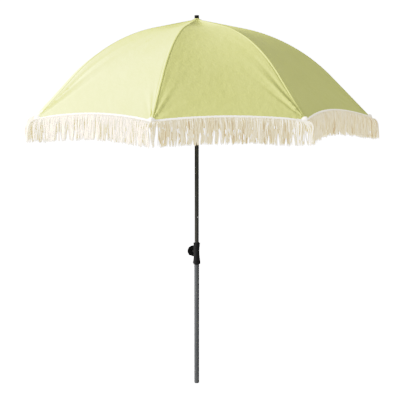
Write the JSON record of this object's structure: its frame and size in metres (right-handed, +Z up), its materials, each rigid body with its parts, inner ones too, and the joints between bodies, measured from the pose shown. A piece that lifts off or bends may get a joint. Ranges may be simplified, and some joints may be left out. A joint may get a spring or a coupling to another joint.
{
  "type": "beach umbrella",
  "caption": "Open beach umbrella: curved folding canopy with scalloped edge and long hanging fringe, on a straight two-part pole with a screw clamp.",
  "frame": {"origin": "centre of the pole's bottom end", "axes": "+Z up along the pole; -Y towards the viewer of the front; +X to the viewer's right"},
  "size_m": [2.0516, 2.0516, 2.2],
  "materials": {
    "lower_tube": "satin mid-grey powder coat",
    "upper_tube": "satin charcoal powder coat",
    "black_plastic": "moulded, fine grain",
    "hub_nylon": "moulded nylon",
    "pale_nylon": "smooth",
    "brass": "machined",
    "zinc_steel": "zinc plated",
    "rib_steel": "galvanised rod",
    "canopy_cloth": "plain-weave cotton canvas, pale olive green",
    "fringe_yarn": "soft cream cotton yarn"
  },
  "bodies": {
    "base": {"lower_pole": "lower_tube", "foot_plug": "black_plastic", "clamp_body": "black_plastic", "clamp_insert": "brass"},
    "clamp_pad": {"pressure_pad": "pale_nylon"},
    "clamp_screw": {"clamp_knob": "black_plastic", "clamp_stud": "zinc_steel"},
    "upper": {"upper_pole": "upper_tube", "pole_bush": "pale_nylon", "stop_rivet": "zinc_steel", "top_cap": "black_plastic", "canopy_collar": "canopy_cloth", "hub": "hub_nylon", "hub_ring": "zinc_steel", "hub_rivet": "zinc_steel"},
    "catch": {"runner_catch": "zinc_steel"},
    "slider": {"runner": "hub_nylon", "runner_ring": "zinc_steel"},
    "rib_arm_1": {"rib_1": "rib_steel", "tip_cap_1": "black_plastic", "gore_1": "canopy_cloth"},
    "strut_arm_1": {"strut_1": "rib_steel"},
    "hanging_1": {"fringe_1": "fringe_yarn"},
    "rib_arm_2": {"rib_2": "rib_steel", "tip_cap_2": "black_plastic", "gore_2": "canopy_cloth"},
    "strut_arm_2": {"strut_2": "rib_steel"},
    "hanging_2": {"fringe_2": "fringe_yarn"},
    "rib_arm_3": {"rib_3": "rib_steel", "tip_cap_3": "black_plastic", "gore_3": "canopy_cloth"},
    "strut_arm_3": {"strut_3": "rib_steel"},
    "hanging_3": {"fringe_3": "fringe_yarn"},
    "rib_arm_4": {"rib_4": "rib_steel", "tip_cap_4": "black_plastic", "gore_4": "canopy_cloth"},
    "strut_arm_4": {"strut_4": "rib_steel"},
    "hanging_4": {"fringe_4": "fringe_yarn"},
    "rib_arm_5": {"rib_5": "rib_steel", "tip_cap_5": "black_plastic", "gore_5": "canopy_cloth"},
    "strut_arm_5": {"strut_5": "rib_steel"},
    "hanging_5": {"fringe_5": "fringe_yarn"},
    "rib_arm_6": {"rib_6": "rib_steel", "tip_cap_6": "black_plastic", "gore_6": "canopy_cloth"},
    "strut_arm_6": {"strut_6": "rib_steel"},
    "hanging_6": {"fringe_6": "fringe_yarn"},
    "rib_arm_7": {"rib_7": "rib_steel", "tip_cap_7": "black_plastic", "gore_7": "canopy_cloth"},
    "strut_arm_7": {"strut_7": "rib_steel"},
    "hanging_7": {"fringe_7": "fringe_yarn"},
    "rib_arm_8": {"rib_8": "rib_steel", "tip_cap_8": "black_plastic", "gore_8": "canopy_cloth"},
    "strut_arm_8": {"strut_8": "rib_steel"},
    "hanging_8": {"fringe_8": "fringe_yarn"}
  },
  "joints": [
    {"name": "height_slide", "type": "slide", "parent": "base", "child": "upper", "axis": [0, 0, 1], "range_m": [-0.15, 0]},
    {"name": "clamp_pad_slide", "type": "slide", "parent": "base", "child": "clamp_pad", "axis": [-0.4384, 0.8988, 0], "range_m": [0, 0.0025]},
    {"name": "clamp_knob_turn", "type": "hinge", "parent": "clamp_pad", "child": "clamp_screw", "pos_m": [0, 0, 0.806], "axis": [-0.4384, 0.8988, 0], "range_deg": [0, 720]},
    {"name": "catch_press", "type": "slide", "parent": "upper", "child": "catch", "axis": [0.1736, -0.9848, 0], "range_m": [-0.0052, 0], "stiffness_N_per_m": 600, "springref_m": 0.002},
    {"name": "rib_1_fold", "type": "hinge", "parent": "upper", "child": "rib_arm_1", "pos_m": [-0.00519, -0.02343, 2.168], "axis": [0.9763, -0.2164, 0], "range_deg": [0, 60], "deforming": ["gore_1", "gore_2", "gore_3", "gore_4", "gore_5", "gore_6", "gore_7", "gore_8", "fringe_1", "fringe_2", "fringe_3", "fringe_4", "fringe_5", "fringe_6", "fringe_7", "fringe_8", "runner_catch"]},
    {"name": "strut_1_swing", "type": "hinge", "parent": "rib_arm_1", "child": "strut_arm_1", "pos_m": [-0.11038, -0.49788, 2.02478], "axis": [0.9763, -0.2164, 0], "range_deg": [-120, 0]},
    {"name": "fringe_1_hang", "type": "hinge", "parent": "rib_arm_1", "child": "hanging_1", "pos_m": [-0.21757, -0.9814, 1.61651], "axis": [0.9763, -0.2164, 0], "range_deg": [-60, 0]},
    {"name": "rib_2_fold", "type": "hinge", "parent": "upper", "child": "rib_arm_2", "pos_m": [0.0129, -0.02024, 2.168], "axis": [0.8434, 0.5373, 0], "range_deg": [0, 60]},
    {"name": "strut_2_swing", "type": "hinge", "parent": "rib_arm_2", "child": "strut_arm_2", "pos_m": [0.274, -0.4301, 2.02478], "axis": [0.8434, 0.5373, 0], "range_deg": [-120, 0]},
    {"name": "fringe_2_hang", "type": "hinge", "parent": "rib_arm_2", "child": "hanging_2", "pos_m": [0.54011, -0.8478, 1.61651], "axis": [0.8434, 0.5373, 0], "range_deg": [-60, 0]},
    {"name": "rib_3_fold", "type": "hinge", "parent": "upper", "child": "rib_arm_3", "pos_m": [0.02343, -0.00519, 2.168], "axis": [0.2164, 0.9763, 0], "range_deg": [0, 60]},
    {"name": "strut_3_swing", "type": "hinge", "parent": "rib_arm_3", "child": "strut_arm_3", "pos_m": [0.49788, -0.11038, 2.02478], "axis": [0.2164, 0.9763, 0], "range_deg": [-120, 0]},
    {"name": "fringe_3_hang", "type": "hinge", "parent": "rib_arm_3", "child": "hanging_3", "pos_m": [0.9814, -0.21757, 1.61651], "axis": [0.2164, 0.9763, 0], "range_deg": [-60, 0]},
    {"name": "rib_4_fold", "type": "hinge", "parent": "upper", "child": "rib_arm_4", "pos_m": [0.02024, 0.0129, 2.168], "axis": [-0.5373, 0.8434, 0], "range_deg": [0, 60]},
    {"name": "strut_4_swing", "type": "hinge", "parent": "rib_arm_4", "child": "strut_arm_4", "pos_m": [0.4301, 0.274, 2.02478], "axis": [-0.5373, 0.8434, 0], "range_deg": [-120, 0]},
    {"name": "fringe_4_hang", "type": "hinge", "parent": "rib_arm_4", "child": "hanging_4", "pos_m": [0.8478, 0.54011, 1.61651], "axis": [-0.5373, 0.8434, 0], "range_deg": [-60, 0]},
    {"name": "rib_5_fold", "type": "hinge", "parent": "upper", "child": "rib_arm_5", "pos_m": [0.00519, 0.02343, 2.168], "axis": [-0.9763, 0.2164, 0], "range_deg": [0, 60]},
    {"name": "strut_5_swing", "type": "hinge", "parent": "rib_arm_5", "child": "strut_arm_5", "pos_m": [0.11038, 0.49788, 2.02478], "axis": [-0.9763, 0.2164, 0], "range_deg": [-120, 0]},
    {"name": "fringe_5_hang", "type": "hinge", "parent": "rib_arm_5", "child": "hanging_5", "pos_m": [0.21757, 0.9814, 1.61651], "axis": [-0.9763, 0.2164, 0], "range_deg": [-60, 0]},
    {"name": "rib_6_fold", "type": "hinge", "parent": "upper", "child": "rib_arm_6", "pos_m": [-0.0129, 0.02024, 2.168], "axis": [-0.8434, -0.5373, 0], "range_deg": [0, 60]},
    {"name": "strut_6_swing", "type": "hinge", "parent": "rib_arm_6", "child": "strut_arm_6", "pos_m": [-0.274, 0.4301, 2.02478], "axis": [-0.8434, -0.5373, 0], "range_deg": [-120, 0]},
    {"name": "fringe_6_hang", "type": "hinge", "parent": "rib_arm_6", "child": "hanging_6", "pos_m": [-0.54011, 0.8478, 1.61651], "axis": [-0.8434, -0.5373, 0], "range_deg": [-60, 0]},
    {"name": "rib_7_fold", "type": "hinge", "parent": "upper", "child": "rib_arm_7", "pos_m": [-0.02343, 0.00519, 2.168], "axis": [-0.2164, -0.9763, 0], "range_deg": [0, 60]},
    {"name": "strut_7_swing", "type": "hinge", "parent": "rib_arm_7", "child": "strut_arm_7", "pos_m": [-0.49788, 0.11038, 2.02478], "axis": [-0.2164, -0.9763, 0], "range_deg": [-120, 0]},
    {"name": "fringe_7_hang", "type": "hinge", "parent": "rib_arm_7", "child": "hanging_7", "pos_m": [-0.9814, 0.21757, 1.61651], "axis": [-0.2164, -0.9763, 0], "range_deg": [-60, 0]},
    {"name": "rib_8_fold", "type": "hinge", "parent": "upper", "child": "rib_arm_8", "pos_m": [-0.02024, -0.0129, 2.168], "axis": [0.5373, -0.8434, 0], "range_deg": [0, 60]},
    {"name": "strut_8_swing", "type": "hinge", "parent": "rib_arm_8", "child": "strut_arm_8", "pos_m": [-0.4301, -0.274, 2.02478], "axis": [0.5373, -0.8434, 0], "range_deg": [-120, 0]},
    {"name": "fringe_8_hang", "type": "hinge", "parent": "rib_arm_8", "child": "hanging_8", "pos_m": [-0.8478, -0.54011, 1.61651], "axis": [0.5373, -0.8434, 0], "range_deg": [-60, 0]},
    {"name": "runner_on_strut", "type": "hinge", "parent": "strut_arm_1", "child": "slider", "pos_m": [-0.00519, -0.02343, 1.88157], "axis": [0.9763, -0.2164, 0], "range_deg": [0, 60]}
  ],
  "couplings": [
    {"joint": "clamp_pad_slide", "follows": "clamp_knob_turn", "m_per_rad": 0.00019894},
    {"joint": "strut_1_swing", "follows": "rib_1_fold", "ratio": -2},
    {"joint": "fringe_1_hang", "follows": "rib_1_fold", "ratio": -1},
    {"joint": "rib_2_fold", "follows": "rib_1_fold", "ratio": 1},
    {"joint": "strut_2_swing", "follows": "rib_1_fold", "ratio": -2},
    {"joint": "fringe_2_hang", "follows": "rib_1_fold", "ratio": -1},
    {"joint": "rib_3_fold", "follows": "rib_1_fold", "ratio": 1},
    {"joint": "strut_3_swing", "follows": "rib_1_fold", "ratio": -2},
    {"joint": "fringe_3_hang", "follows": "rib_1_fold", "ratio": -1},
    {"joint": "rib_4_fold", "follows": "rib_1_fold", "ratio": 1},
    {"joint": "strut_4_swing", "follows": "rib_1_fold", "ratio": -2},
    {"joint": "fringe_4_hang", "follows": "rib_1_fold", "ratio": -1},
    {"joint": "rib_5_fold", "follows": "rib_1_fold", "ratio": 1},
    {"joint": "strut_5_swing", "follows": "rib_1_fold", "ratio": -2},
    {"joint": "fringe_5_hang", "follows": "rib_1_fold", "ratio": -1},
    {"joint": "rib_6_fold", "follows": "rib_1_fold", "ratio": 1},
    {"joint": "strut_6_swing", "follows": "rib_1_fold", "ratio": -2},
    {"joint": "fringe_6_hang", "follows": "rib_1_fold", "ratio": -1},
    {"joint": "rib_7_fold", "follows": "rib_1_fold", "ratio": 1},
    {"joint": "strut_7_swing", "follows": "rib_1_fold", "ratio": -2},
    {"joint": "fringe_7_hang", "follows": "rib_1_fold", "ratio": -1},
    {"joint": "rib_8_fold", "follows": "rib_1_fold", "ratio": 1},
    {"joint": "strut_8_swing", "follows": "rib_1_fold", "ratio": -2},
    {"joint": "fringe_8_hang", "follows": "rib_1_fold", "ratio": -1},
    {"joint": "runner_on_strut", "follows": "rib_1_fold", "ratio": 1}
  ]
}
